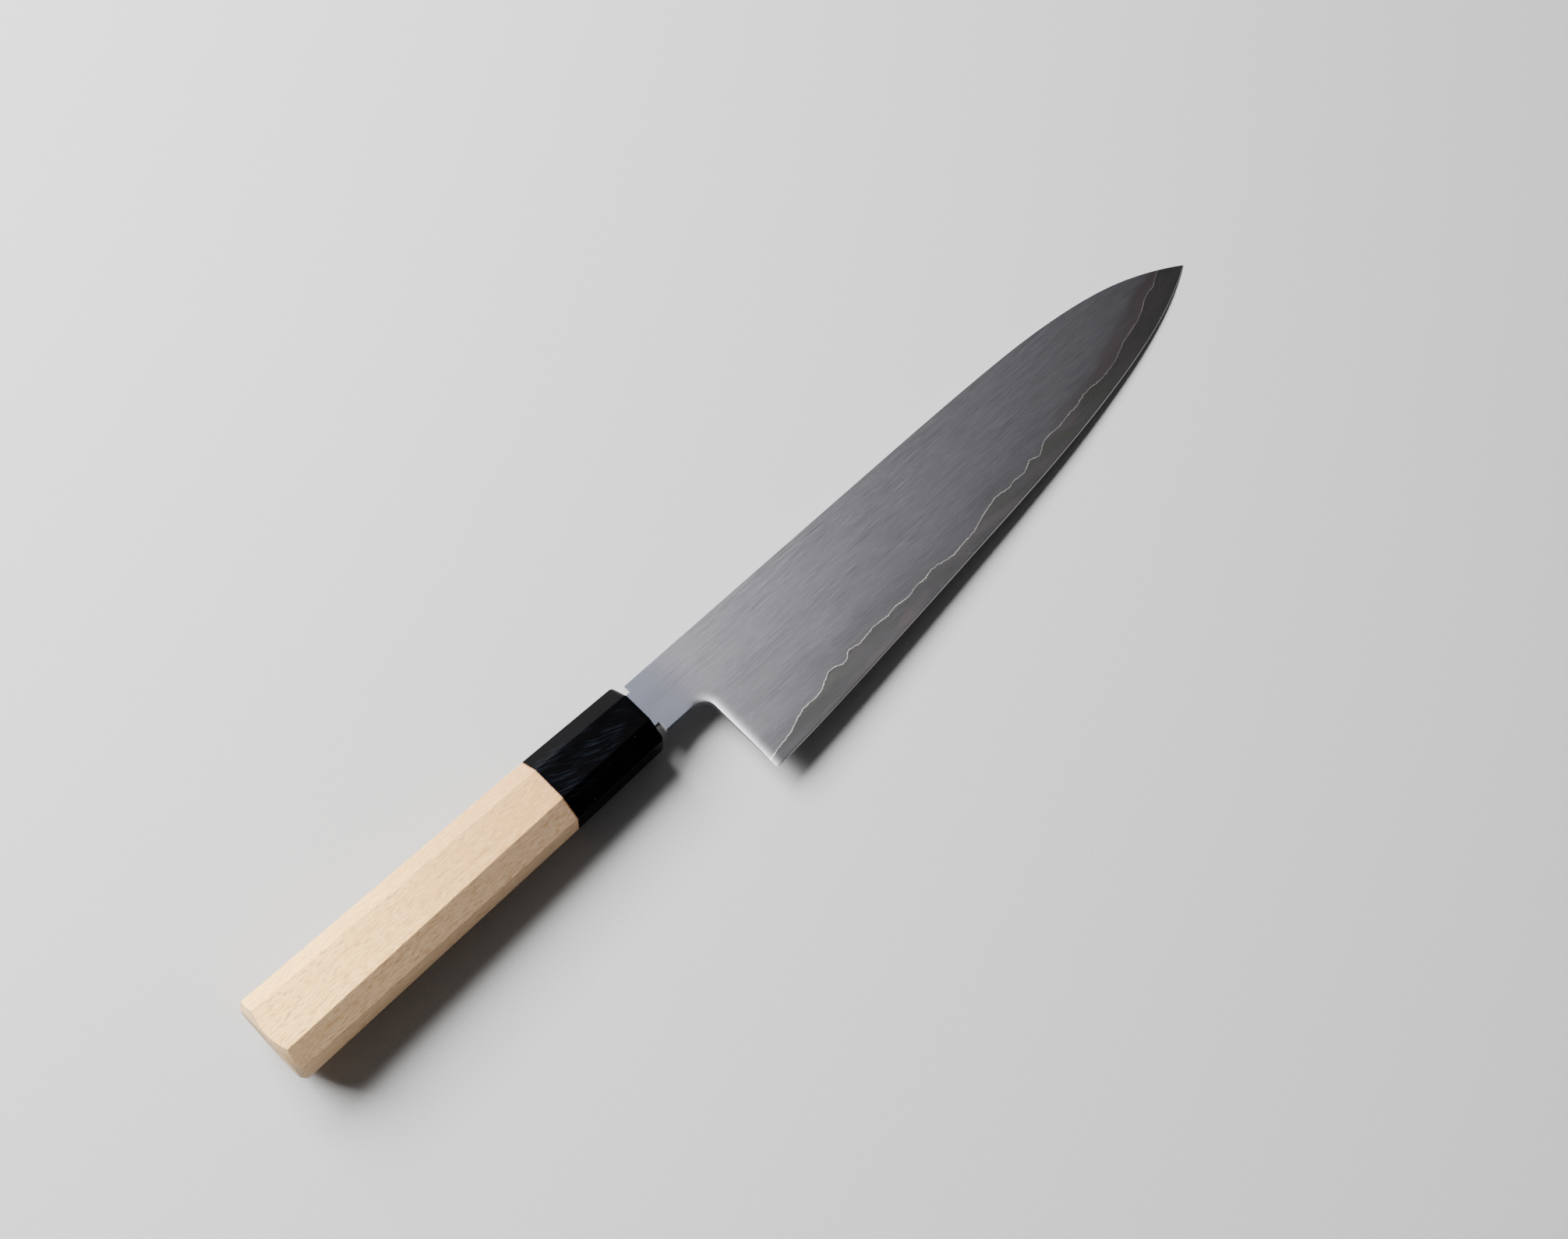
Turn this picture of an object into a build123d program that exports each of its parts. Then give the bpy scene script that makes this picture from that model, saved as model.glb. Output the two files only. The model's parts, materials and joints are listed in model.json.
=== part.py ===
from build123d import *
import math
import os

# A Japanese-handled chef's knife (gyuto): a three-layer clad blade whose hidden tang is bedded in resin
# inside an octagonal wooden handle with a horn ferrule.
#
# The pieces are drawn in the knife's own frame, in millimetres: the origin is the centre of the ferrule's
# front face, +X runs along the handle's axis to the tip, the cutting edge faces -Y and +Z is the right
# side. At the end every piece is laid down together, left side down, as the knife rests on a table.

# --- Handle and ferrule -------------------------------------------------------------------------
wood_length = 100.0
ferrule_length = 34.0
# Octagons: height across (Y), thickness across (Z) and the half-width of the broad facets. The slanted
# facets all lean at one slope, Y to Z, which sets the narrow facets and keeps every facet flat.
butt_octagon = (25.2, 20.6, 7.2)
joint_octagon = (23.0, 19.0, 5.6)
front_octagon = (21.6, 18.0, 5.0)
slanted_facet_slope = 1.125
# The butt's rim is sanded to an elliptical cone: the share of the handle's height and thickness that is left
# at the butt, and the run in which the cone grows by the whole of them.
butt_face_share = 0.94
butt_cone_run = 9.0
ferrule_front_radius = 1.6

tenon_diameter = 14.0
tenon_length = 28.0
glue_gap = 0.2
joint_line = 0.3

# --- Tang and the slot that it is bedded in -------------------------------------------------------
# Sections: centre height (Y), height (Y) and thickness (Z). The tang leaves the neck flush with the
# blade's faces, and thins to its own section just inside the ferrule.
tang_root = (0.8, 12.4, 2.4)
tang_end = (0.6, 5.0, 1.9)
tang_depth = 88.0
tang_flush_depth = 1.0
slot_mouth = (0.8, 12.4, 2.7)
slot_end = (0.6, 5.0, 1.9)
resin_gap = 0.25
slot_end_clearance = 1.0

# --- Blade outline --------------------------------------------------------------------------------
shoulder_x = 2.8
spine_y = 9.4
neck_bottom_y = -8.45
choil_x = 17.7
choil_radius = 4.0
heel_y = -38.0
tip_x = 228.0
tip_y = -7.4
spine_straight_end_x = 118.0
spine_drop = [(148.0, 9.1), (170.0, 8.3), (190.0, 6.2), (208.0, 2.1)]
spine_run_out = (232.0, -10.0)

# --- Blade grind ----------------------------------------------------------------------------------
# Stations along the blade: x, height of the cutting edge, half-thickness at the back line and the
# swell of the convex face. The first and last stations lie beyond the outline, which trims them.
back_line_y = 12.0
grind_stations = [
    (-5.0, -38.9, 1.65, 0.20),
    (18.0, -38.05, 1.60, 0.20),
    (42.0, -36.5, 1.53, 0.20),
    (72.0, -33.95, 1.41, 0.20),
    (110.0, -30.4, 1.22, 0.19),
    (150.0, -26.3, 1.02, 0.17),
    (180.0, -21.9, 0.86, 0.14),
    (205.0, -16.4, 0.70, 0.10),
    (228.0, -7.4, 0.52, 0.05),
    (240.0, -0.2, 0.42, 0.02),
]
bevel_height = 0.6
bevel_half_thickness = 0.12

# --- Lamination -----------------------------------------------------------------------------------
# Half-thickness of the core along the knife, and the wavy lower border of each cladding on its face.
core_half_thickness = [
    (-95.0, 0.42), (0.0, 0.34), (18.0, 0.17), (50.0, 0.25), (90.0, 0.25), (130.0, 0.22), (240.0, 0.18),
]
right_border = [
    (12.0, -36.8), (17.5, -35.2), (22.5, -34.0), (27.0, -33.3), (31.0, -32.0), (36.0, -30.6), (42.0, -30.5),
    (45.0, -29.4), (48.0, -27.9), (51.0, -27.8), (55.0, -28.6), (57.5, -27.0), (60.5, -27.4), (68.0, -26.7),
    (74.0, -27.1), (78.0, -26.6), (83.0, -27.0), (86.5, -26.2), (89.5, -26.4), (93.5, -25.7), (98.0, -26.3),
    (102.0, -26.8), (106.0, -26.3), (110.0, -26.0), (114.0, -25.2), (118.0, -23.9), (122.0, -23.0),
    (125.5, -22.4), (129.5, -23.1), (133.0, -22.6), (138.5, -22.4), (141.5, -21.1), (144.5, -22.0),
    (148.0, -20.3), (152.0, -19.3), (157.0, -19.3), (162.0, -18.5), (166.0, -18.3), (170.0, -17.2),
    (176.0, -17.1), (181.0, -16.8), (185.0, -16.1), (189.5, -14.6), (194.0, -12.9), (199.0, -11.8),
    (204.0, -10.3), (208.5, -8.0), (212.5, -6.5), (215.0, -6.1), (217.5, -4.7), (221.0, -3.0), (226.0, 1.0),
]
left_border = [
    (12.0, -36.4), (17.5, -34.8), (24.0, -33.9), (29.0, -32.4), (35.0, -31.7), (40.0, -30.2), (47.0, -29.6),
    (52.0, -28.2), (58.0, -28.5), (63.0, -27.2), (70.0, -27.5), (76.0, -26.3), (81.0, -26.9), (88.0, -25.8),
    (94.0, -26.4), (99.0, -25.3), (107.0, -25.6), (112.0, -24.3), (119.0, -24.4), (124.0, -23.3),
    (131.0, -23.5), (136.0, -22.1), (143.0, -22.0), (149.0, -20.6), (155.0, -20.5), (161.0, -18.8),
    (168.0, -18.5), (173.0, -17.2), (180.0, -16.8), (186.0, -15.0), (193.0, -13.6), (198.0, -11.7),
    (205.0, -10.0), (210.0, -7.6), (216.0, -5.6), (221.0, -3.0), (226.0, 1.0),
]

# How far the shapes that only cut others reach past what they cut.
blank_half_depth = 4.0
blank_margin = 8.0
slab_half_height = 60.0


def cross_plane(x):
    """A plane across the knife at x, whose local axes are the knife's Y and Z."""
    return Plane(origin=(x, 0, 0), x_dir=(0, 1, 0), z_dir=(1, 0, 0))


def octagon(x, sizes):
    """The corners of one eight-sided section of the handle."""
    height, thickness, broad = sizes
    narrow = thickness / 2 - (height / 2 - broad) / slanted_facet_slope
    quarter = [(height / 2, narrow), (broad, thickness / 2)]
    corners = quarter + [(-y, z) for y, z in reversed(quarter)]
    corners += [(-y, -z) for y, z in quarter]
    corners += [(y, -z) for y, z in reversed(quarter)]
    return [Vector(x, y, z) for y, z in corners]


def eight_sided(x_rear, rear, x_front, front):
    """A solid with flat facets between two octagons."""
    behind = octagon(x_rear, rear)
    ahead = octagon(x_front, front)
    outlines = [behind, ahead]
    for i, corner in enumerate(behind):
        after = (i + 1) % len(behind)
        outlines.append([corner, behind[after], ahead[after], ahead[i]])
    return Solid(Shell([make_face(Polyline(*outline, close=True)).face() for outline in outlines]))


def bar(x_front, front, x_rear, rear, gap=0.0):
    """A tapered bar with rectangular ends, grown by gap on its long sides."""
    ends = []
    for x, (centre, height, thickness) in ((x_front, front), (x_rear, rear)):
        shape = Rectangle(height + 2 * gap, thickness + 2 * gap)
        ends.append(cross_plane(x) * Pos(centre, 0) * shape)
    return loft(ends, ruled=True)


def rod(x_front, x_rear, diameter):
    return extrude(cross_plane(x_rear) * Circle(diameter / 2), x_front - x_rear)


def grind_section(x, edge_y, half_thickness, swell):
    """One lens-shaped section of the ground blade, from its edge to the back line."""
    low = edge_y + bevel_height
    middle = ((low + back_line_y) / 2, (bevel_half_thickness + half_thickness) / 2 + swell)
    right_low = (low, bevel_half_thickness)
    right_top = (back_line_y, half_thickness)
    sides = [
        Line((edge_y, 0), right_low),
        ThreePointArc(right_low, middle, right_top),
        Line(right_top, (back_line_y, -half_thickness)),
        ThreePointArc((back_line_y, -half_thickness), (middle[0], -middle[1]), (low, -bevel_half_thickness)),
        Line((low, -bevel_half_thickness), (edge_y, 0)),
    ]
    return cross_plane(x) * make_face(Curve() + sides)


def blade_outline():
    spine_end = (spine_straight_end_x, spine_y)
    under = heel_y - blank_margin
    tip = (tip_x, tip_y)
    tang_top = tang_root[0] + tang_root[1] / 2
    tang_bottom = tang_root[0] - tang_root[1] / 2
    curves = [
        Line((shoulder_x, spine_y), spine_end),
        Spline(spine_end, *spine_drop, tip, spine_run_out, tangents=[(1, 0), (1, -0.68)]),
        Line(spine_run_out, (spine_run_out[0], under)),
        Line((spine_run_out[0], under), (choil_x, under)),
        Line((choil_x, under), (choil_x, neck_bottom_y - choil_radius)),
        JernArc((choil_x, neck_bottom_y - choil_radius), (0, 1), choil_radius, 90),
        Polyline(
            (choil_x - choil_radius, neck_bottom_y),
            (shoulder_x, neck_bottom_y),
            (shoulder_x, tang_bottom),
            (-tang_flush_depth, tang_bottom),
            (-tang_flush_depth, tang_top),
            (shoulder_x, tang_top),
            (shoulder_x, spine_y),
        ),
    ]
    return extrude(make_face(Curve() + curves), blank_half_depth, both=True)


def steel_blank():
    """The whole forging, blade and tang, before it is told apart into its three layers."""
    ground = loft([grind_section(*station) for station in grind_stations])
    blade = ground & blade_outline()
    tang = bar(0.0, tang_root, -tang_depth, tang_end)
    return blade + tang


def cladding_region(border, side):
    """Everything on one side of the core and above the border line on that face."""
    rear_x = core_half_thickness[0][0]
    low_rear = (rear_x, border[0][1])
    top = back_line_y + blank_margin
    curves = [
        Spline(*border),
        Line(border[-1], (border[-1][0], top)),
        Line((border[-1][0], top), (rear_x, top)),
        Line((rear_x, top), low_rear),
        Line(low_rear, border[0]),
    ]
    return extrude(make_face(Curve() + curves), side * blank_half_depth)


def core_slab():
    """The middle layer of the lamination, which the claddings are cut away from."""
    upper = core_half_thickness
    lower = [(x, -z) for x, z in upper]
    curves = [
        Spline(*upper),
        Line(upper[-1], lower[-1]),
        Spline(*reversed(lower)),
        Line(lower[0], upper[0]),
    ]
    profile = Plane.XZ * make_face(Curve() + curves)
    return extrude(profile, slab_half_height, both=True)


def tang_slot():
    """The tapered slot through the ferrule and the tenon that the tang is bedded in."""
    return bar(0.0, slot_mouth, -tang_depth - slot_end_clearance, slot_end, resin_gap)


def ferrule_cavity():
    """The blind round bore that the ferrule is glued over the tenon with."""
    return rod(-ferrule_length + tenon_length + glue_gap, -ferrule_length, tenon_diameter + 2 * glue_gap)


def horn_ferrule():
    rear_x = -ferrule_length + joint_line
    body = eight_sided(rear_x, joint_octagon, 0.0, front_octagon)
    rim = body.faces().sort_by(Axis.X)[-1].edges()
    return fillet(rim, ferrule_front_radius) - ferrule_cavity() - tang_slot()


def butt_cone(butt_x):
    """The cone that trims the handle's corners at the butt and clears the rest of it."""
    height, thickness, _ = butt_octagon
    ends = []
    for run in (0.0, wood_length):
        share = butt_face_share + run / butt_cone_run
        ends.append(cross_plane(butt_x + run) * Ellipse(share * height / 2, share * thickness / 2))
    return loft(ends, ruled=True)


def handle_body():
    butt_x = -ferrule_length - wood_length
    grip = eight_sided(butt_x, butt_octagon, -ferrule_length, joint_octagon) & butt_cone(butt_x)
    tenon = rod(-ferrule_length + tenon_length, -ferrule_length, tenon_diameter)
    return grip + tenon - tang_slot()


def ferrule_glue(ferrule, wood):
    """The glue sleeve round the tenon, with the thin line of it that shows between wood and horn."""
    line = eight_sided(-ferrule_length, joint_octagon, -ferrule_length + joint_line, joint_octagon)
    return line + ferrule_cavity() - wood - tang_slot()


def tang_resin(tang):
    return tang_slot() - tang


def rest_slope():
    """The angle that the knife leans at on its left side, carried by the ferrule's rim and the tip."""
    rim_centre_z = front_octagon[1] / 2 - ferrule_front_radius
    rise = rim_centre_z - bevel_half_thickness
    run = tip_x - bevel_height + ferrule_front_radius
    return math.degrees(math.atan2(rise, run) + math.asin(ferrule_front_radius / math.hypot(run, rise)))


def rest_pose(pieces):
    """Lay the knife down with its origin on the table, under the middle of its bounding box."""
    tilted = {name: Rot(0, rest_slope(), 0) * piece for name, piece in pieces.items()}
    box = Compound(list(tilted.values())).bounding_box()
    shift = Pos(-box.center().X, -box.center().Y, -box.min.Z)
    return {name: shift * piece for name, piece in tilted.items()}


def main():
    os.makedirs("parts", exist_ok=True)
    blank = steel_blank()
    slab = core_slab()
    cladding_right = (blank & cladding_region(right_border, 1)) - slab
    cladding_left = (blank & cladding_region(left_border, -1)) - slab
    ferrule = horn_ferrule()
    wood = handle_body()
    pieces = {
        "core_steel": blank - cladding_right - cladding_left,
        "cladding_right": cladding_right,
        "cladding_left": cladding_left,
        "horn_ferrule": ferrule,
        "handle_body": wood,
        "ferrule_glue": ferrule_glue(ferrule, wood),
        "tang_resin": tang_resin(blank),
    }
    for name, piece in rest_pose(pieces).items():
        export_step(piece, f"parts/{name}.step")


main()
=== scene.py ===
import json
import math

import bpy
import numpy as np
from mathutils import Matrix, Vector


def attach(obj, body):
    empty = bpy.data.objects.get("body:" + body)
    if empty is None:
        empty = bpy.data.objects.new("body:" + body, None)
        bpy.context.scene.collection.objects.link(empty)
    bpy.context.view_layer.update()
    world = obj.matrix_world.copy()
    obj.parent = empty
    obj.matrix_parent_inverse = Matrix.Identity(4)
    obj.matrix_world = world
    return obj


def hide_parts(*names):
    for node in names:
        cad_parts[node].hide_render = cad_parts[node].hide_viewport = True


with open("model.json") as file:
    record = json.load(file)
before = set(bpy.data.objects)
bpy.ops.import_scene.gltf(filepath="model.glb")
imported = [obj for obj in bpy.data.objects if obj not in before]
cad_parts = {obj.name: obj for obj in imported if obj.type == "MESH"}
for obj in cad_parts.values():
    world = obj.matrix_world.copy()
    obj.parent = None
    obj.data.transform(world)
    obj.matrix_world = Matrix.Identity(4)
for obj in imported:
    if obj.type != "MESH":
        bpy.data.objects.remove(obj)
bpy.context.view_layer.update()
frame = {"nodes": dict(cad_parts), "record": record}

# A Japanese-handled chef's knife, lying on its left side. The visible pieces are drawn in the knife's own
# frame, in millimetres, as the CAD model is: the origin is the centre of the ferrule's front face, +X runs
# to the tip, the cutting edge faces -Y and +Z is the right side. KNIFE lays them where the model lies.

MM = 0.001

# --- Handle and ferrule ----------------------------------------------------------------------------------
WOOD_LENGTH = 100.0
FERRULE_LENGTH = 34.0
JOINT_LINE = 0.3
JOINT_X = -FERRULE_LENGTH
BUTT_X = JOINT_X - WOOD_LENGTH
# Octagons: height across (Y), thickness across (Z) and the half-width of the broad facets.
BUTT_OCTAGON = (25.2, 20.6, 7.2)
JOINT_OCTAGON = (23.0, 19.0, 5.6)
FRONT_OCTAGON = (21.6, 18.0, 5.0)
# The tangent of the angle from Y to the way that a slanted facet faces.
SLANTED_FACET_SLOPE = 1.125
# The butt's rim is sanded to an elliptical cone: the share of the handle that is left at the butt, and the
# run in which the cone grows by the whole of it.
BUTT_FACE_SHARE = 0.94
BUTT_CONE_RUN = 9.0
BUTT_EASE = 0.14
# How fast the facets draw in towards the tip, for their normals.
HANDLE_TAPER = 0.01
FERRULE_TAPER = 0.018
# Roundings: the ferrule's front rim, the ridges between facets, and the two rims at the joint.
FERRULE_FRONT_RADIUS = 1.6
RIDGE_RADIUS = 0.5
EDGE_EASE = 0.12
TENON_RADIUS = 7.0
TENON_LENGTH = 28.0
GLUE_GAP = 0.2
GLUE_LINE_DEPTH = 0.06

# --- Tang and its slot: centre height (Y), height (Y) and thickness (Z) ----------------------------------
TANG_ROOT = (0.8, 12.4, 2.4)
TANG_END = (0.6, 5.0, 1.9)
TANG_DEPTH = 88.0
TANG_FLUSH_DEPTH = 1.0
SLOT_MOUTH = (0.8, 12.9, 3.2)
SLOT_END = (0.6, 5.5, 2.4)
SLOT_DEPTH = 89.0

# --- Blade -----------------------------------------------------------------------------------------------
SHOULDER_X = 2.8
SPINE_Y = 9.4
SPINE_STRAIGHT_END_X = 118.0
NECK_BOTTOM_Y = -8.45
CHOIL_X = 17.7
CHOIL_RADIUS = 4.0
TIP = (228.0, -7.4)
SPINE_POINTS = [
    (60, 9.4), (90, 9.4), (118, 9.4), (148, 9.1), (170, 8.3), (190, 6.2), (208, 2.1), TIP, (232, -10),
]
# Stations along the blade: x, height of the edge, half-thickness at the back line, swell of the face.
BACK_LINE_Y = 12.0
GRIND_STATIONS = [
    (-5.0, -38.9, 1.65, 0.20),
    (18.0, -38.05, 1.60, 0.20),
    (42.0, -36.5, 1.53, 0.20),
    (72.0, -33.95, 1.41, 0.20),
    (110.0, -30.4, 1.22, 0.19),
    (150.0, -26.3, 1.02, 0.17),
    (180.0, -21.9, 0.86, 0.14),
    (205.0, -16.4, 0.70, 0.10),
    (228.0, -7.4, 0.52, 0.05),
    (240.0, -0.2, 0.42, 0.02),
]
BEVEL_HEIGHT = 0.6
BEVEL_HALF_THICKNESS = 0.12
# The core's half-thickness at stations along the knife.
CORE_HALF_THICKNESS = [(-95, 0.42), (0, 0.34), (18, 0.17), (50, 0.25), (90, 0.25), (130, 0.22), (240, 0.18)]
# The rounding of a cladding's outer rim.
RIM_EASE = 0.22
# The face is worn towards the choil. The tilt of its normals at the outline, the distance over which the
# tilt fades, and where along the neck it starts and becomes whole.
CHOIL_TILT = math.radians(26)
CHOIL_TILT_REACH = 0.8
CHOIL_TILT_START_X = CHOIL_X - CHOIL_RADIUS - 2
CHOIL_TILT_RUN = 3.0

# The wavy lower border of the cladding, on each face.
RIGHT_BORDER = [
    (12.0, -36.8), (17.5, -35.2), (22.5, -34.0), (27.0, -33.3), (31.0, -32.0), (36.0, -30.6), (42.0, -30.5),
    (45.0, -29.4), (48.0, -27.9), (51.0, -27.8), (55.0, -28.6), (57.5, -27.0), (60.5, -27.4), (68.0, -26.7),
    (74.0, -27.1), (78.0, -26.6), (83.0, -27.0), (86.5, -26.2), (89.5, -26.4), (93.5, -25.7), (98.0, -26.3),
    (102.0, -26.8), (106.0, -26.3), (110.0, -26.0), (114.0, -25.2), (118.0, -23.9), (122.0, -23.0),
    (125.5, -22.4), (129.5, -23.1), (133.0, -22.6), (138.5, -22.4), (141.5, -21.1), (144.5, -22.0),
    (148.0, -20.3), (152.0, -19.3), (157.0, -19.3), (162.0, -18.5), (166.0, -18.3), (170.0, -17.2),
    (176.0, -17.1), (181.0, -16.8), (185.0, -16.1), (189.5, -14.6), (194.0, -12.9), (199.0, -11.8),
    (204.0, -10.3), (208.5, -8.0), (212.5, -6.5), (215.0, -6.1), (217.5, -4.7), (221.0, -3.0), (226.0, 1.0),
]
LEFT_BORDER = [
    (12.0, -36.4), (17.5, -34.8), (24.0, -33.9), (29.0, -32.4), (35.0, -31.7), (40.0, -30.2), (47.0, -29.6),
    (52.0, -28.2), (58.0, -28.5), (63.0, -27.2), (70.0, -27.5), (76.0, -26.3), (81.0, -26.9), (88.0, -25.8),
    (94.0, -26.4), (99.0, -25.3), (107.0, -25.6), (112.0, -24.3), (119.0, -24.4), (124.0, -23.3),
    (131.0, -23.5), (136.0, -22.1), (143.0, -22.0), (149.0, -20.6), (155.0, -20.5), (161.0, -18.8),
    (168.0, -18.5), (173.0, -17.2), (180.0, -16.8), (186.0, -15.0), (193.0, -13.6), (198.0, -11.7),
    (205.0, -10.0), (210.0, -7.6), (216.0, -5.6), (221.0, -3.0), (226.0, 1.0),
]

# --- Camera, in the knife's own frame: millimetres and degrees -------------------------------------------
CAMERA_AIM = (51.15, -6.93, 0.0)
CAMERA_DISTANCE = 655.1
CAMERA_AZIMUTH = -51.40
CAMERA_ELEVATION = 66.12
CAMERA_ROLL = 7.14
CAMERA_LENS = 51.94
CAMERA_SENSOR_WIDTH = 36.0
CAMERA_CLIPS = (0.01, 50.0)


def knife_frame():
    """The matrix that takes the knife's own frame, in millimetres, to the row frame, in metres."""
    butt = next(m for m in frame["record"]["mounts"] if m["name"] == "butt_face")
    along = -Vector(butt["axis"]).normalized()
    across = Vector((0, 1, 0))
    origin = Vector(butt["pos_m"]) - along * BUTT_X * MM
    axes = Matrix((along, across, along.cross(across))).transposed().to_4x4()
    return Matrix.Translation(origin) @ axes @ Matrix.Scale(MM, 4)


KNIFE = knife_frame()


# --- Curves and outlines ---------------------------------------------------------------------------------

def smooth(points):
    """A function of x that runs through the points as a natural cubic spline."""
    x, y = np.array(points, float).T
    gap = np.diff(x)
    system = np.eye(len(x))
    wanted = np.zeros(len(x))
    for i in range(1, len(x) - 1):
        system[i, i - 1:i + 2] = gap[i - 1], 2 * (gap[i - 1] + gap[i]), gap[i]
        wanted[i] = 6 * ((y[i + 1] - y[i]) / gap[i] - (y[i] - y[i - 1]) / gap[i - 1])
    bend = np.linalg.solve(system, wanted)

    def value(at):
        i = np.clip(np.searchsorted(x, at) - 1, 0, len(gap) - 1)
        a = (x[i + 1] - at) / gap[i]
        b = 1 - a
        curve = ((a**3 - a) * bend[i] + (b**3 - b) * bend[i + 1]) * gap[i]**2 / 6
        return a * y[i] + b * y[i + 1] + curve

    return value


edge_y = smooth([station[:2] for station in GRIND_STATIONS])
back_half = smooth([(station[0], station[2]) for station in GRIND_STATIONS])
face_swell = smooth([(station[0], station[3]) for station in GRIND_STATIONS])
core_half = smooth(CORE_HALF_THICKNESS)
spine_curve = smooth(SPINE_POINTS)


def spine_y(x):
    return np.where(x < SPINE_STRAIGHT_END_X, SPINE_Y, spine_curve(x))


def half_thickness(x, y):
    """How far the ground face stands from the blade's middle plane."""
    low = edge_y(x) + BEVEL_HEIGHT
    rise = (y - low) / (BACK_LINE_Y - low)
    face = BEVEL_HALF_THICKNESS + (back_half(x) - BEVEL_HALF_THICKNESS) * rise
    face = face + 4 * face_swell(x) * rise * (1 - rise)
    bevel = BEVEL_HALF_THICKNESS * (y - edge_y(x)) / BEVEL_HEIGHT
    return np.maximum(np.where(y < low, bevel, face), 0)


def unit(vectors):
    return vectors / np.linalg.norm(vectors, axis=-1, keepdims=True)


def face_normals(x, y, side):
    """The normals of the ground face, which is on the side of +Z or -Z."""
    step = 0.02
    slope_x = (half_thickness(x + step, y) - half_thickness(x - step, y)) / (2 * step)
    slope_y = (half_thickness(x, y + step) - half_thickness(x, y - step)) / (2 * step)
    return unit(np.stack([-slope_x, -slope_y, np.full_like(y, side)], axis=-1))


SLOPE_STEP = 0.1


def slope_at(border, x):
    return (border(x + SLOPE_STEP) - border(x - SLOPE_STEP)) / (2 * SLOPE_STEP)


def crossing(border):
    """Where a cladding's border runs out at the spine."""
    low, high = SPINE_POINTS[-3][0], TIP[0]
    while high - low > 1e-6:
        middle = (low + high) / 2
        low, high = (middle, high) if border(middle) < spine_y(middle) else (low, middle)
    return low


# --- Meshes ----------------------------------------------------------------------------------------------

# The length that spans the UV map, and the places that points are rounded to before equal ones are joined.
UV_SPAN = 300.0
JOIN_DECIMALS = 4


class Skin:
    """The faces of a closed surface, in the knife's frame.

    A corner is a place and the normal wanted there.
    """

    def __init__(self):
        self.faces = []

    def face(self, *corners, turned=False):
        self.faces.append(corners[::-1] if turned else corners)

    def build(self, name, marks=None):
        """The Blender object. marks gives values for its material, worked out from its points."""
        corners = np.array([spot for face in self.faces for spot in face])
        rounded = corners[:, :3].round(JOIN_DECIMALS) + 0.0
        places, index = np.unique(rounded, axis=0, return_inverse=True)
        index = index.ravel()
        faces, kept, start = [], [], 0
        for face in self.faces:
            loop = [start + k for k in range(len(face))]
            start += len(face)
            loop = [k for n, k in enumerate(loop) if index[k] not in index[loop[:n]]]
            if len(loop) > 2:
                faces.append([int(index[k]) for k in loop])
                kept += loop
        mesh = bpy.data.meshes.new(name)
        mesh.from_pydata([KNIFE @ Vector(place) for place in places], [], faces)
        mark_points(mesh, "knife_mm", "FLOAT_VECTOR", "vector", places)
        for mark, values in (marks or {}).items():
            mark_points(mesh, mark, "FLOAT", "value", values(places))
        across = mesh.uv_layers.new(name="across")
        across.data.foreach_set("uv", (corners[kept][:, [1, 0]] / UV_SPAN).astype(np.float32).ravel())
        mesh.shade_smooth()
        turn = KNIFE.to_3x3().normalized()
        mesh.normals_split_custom_set([turn @ Vector(corners[k, 3:]).normalized() for k in kept])
        made = bpy.data.objects.new(name, mesh)
        bpy.context.scene.collection.objects.link(made)
        return made


def mark_points(mesh, name, kind, field, values):
    """Keeps a value for each point of the mesh, which a material can read."""
    kept = mesh.attributes.new(name, kind, "POINT")
    kept.data.foreach_set(field, np.asarray(values, np.float32).ravel())


def corner(place, normal):
    return np.concatenate([place, normal])


# --- The blade: one grid of columns along the knife and rows across it, used by all three layers ---------

# Rows, as shares of the height between two lines: the edge bevel and the seam, the seam's strip and the
# choil's level, and the choil's level and the spine. Some of the last follow the tang's sides.
CORE_ROWS = [0.2, 0.4, 0.6, 0.8, 0.93]
SEAM_ROW = 2 + len(CORE_ROWS)
LOWER_ROWS = [0.02, 0.05, 0.1, 0.17, 0.26, 0.38, 0.5, 0.62, 0.74, 0.87, 1.0]
CHOIL_ROW = SEAM_ROW + 1 + len(LOWER_ROWS)
NECK_HEIGHT = SPINE_Y - NECK_BOTTOM_Y
TANG_LOW = (TANG_ROOT[0] - TANG_ROOT[1] / 2 - NECK_BOTTOM_Y) / NECK_HEIGHT
TANG_HIGH = (TANG_ROOT[0] + TANG_ROOT[1] / 2 - NECK_BOTTOM_Y) / NECK_HEIGHT
TANG_ROWS = 7
UPPER_ROWS = [TANG_LOW / 3, TANG_LOW * 2 / 3, TANG_LOW]
UPPER_ROWS += [TANG_LOW + (TANG_HIGH - TANG_LOW) * k / TANG_ROWS for k in range(1, TANG_ROWS + 1)]
UPPER_ROWS += [(1 + TANG_HIGH) / 2, 0.97, 1.0]
TANG_FIRST_ROW = CHOIL_ROW + 3
TANG_LAST_ROW = TANG_FIRST_ROW + TANG_ROWS
LAST_ROW = CHOIL_ROW + len(UPPER_ROWS)
# The height of the strip that a cladding has along the seam.
SEAM_STRIP = 0.5
# A rim's rounding is drawn in steps, at these turns from the face to the wall. It takes at most a share of
# the layer's thickness, grows over a few rows above the seam and fades out over a run before the tip.
RIM_TURNS = [math.radians(turn) for turn in (18, 36, 54, 72, 90)]
RIM_THICKNESS_SHARE = 0.8
RIM_ROWS = 4
RIM_TIP_RUN = 40.0
# The core's surface dives under the cladding within this distance of the seam.
CORE_STEP = 0.01
# Where the face's lowest normals are taken, above the edge bevel, so that they don't feel it.
NORMAL_LIFT = 0.03

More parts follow.
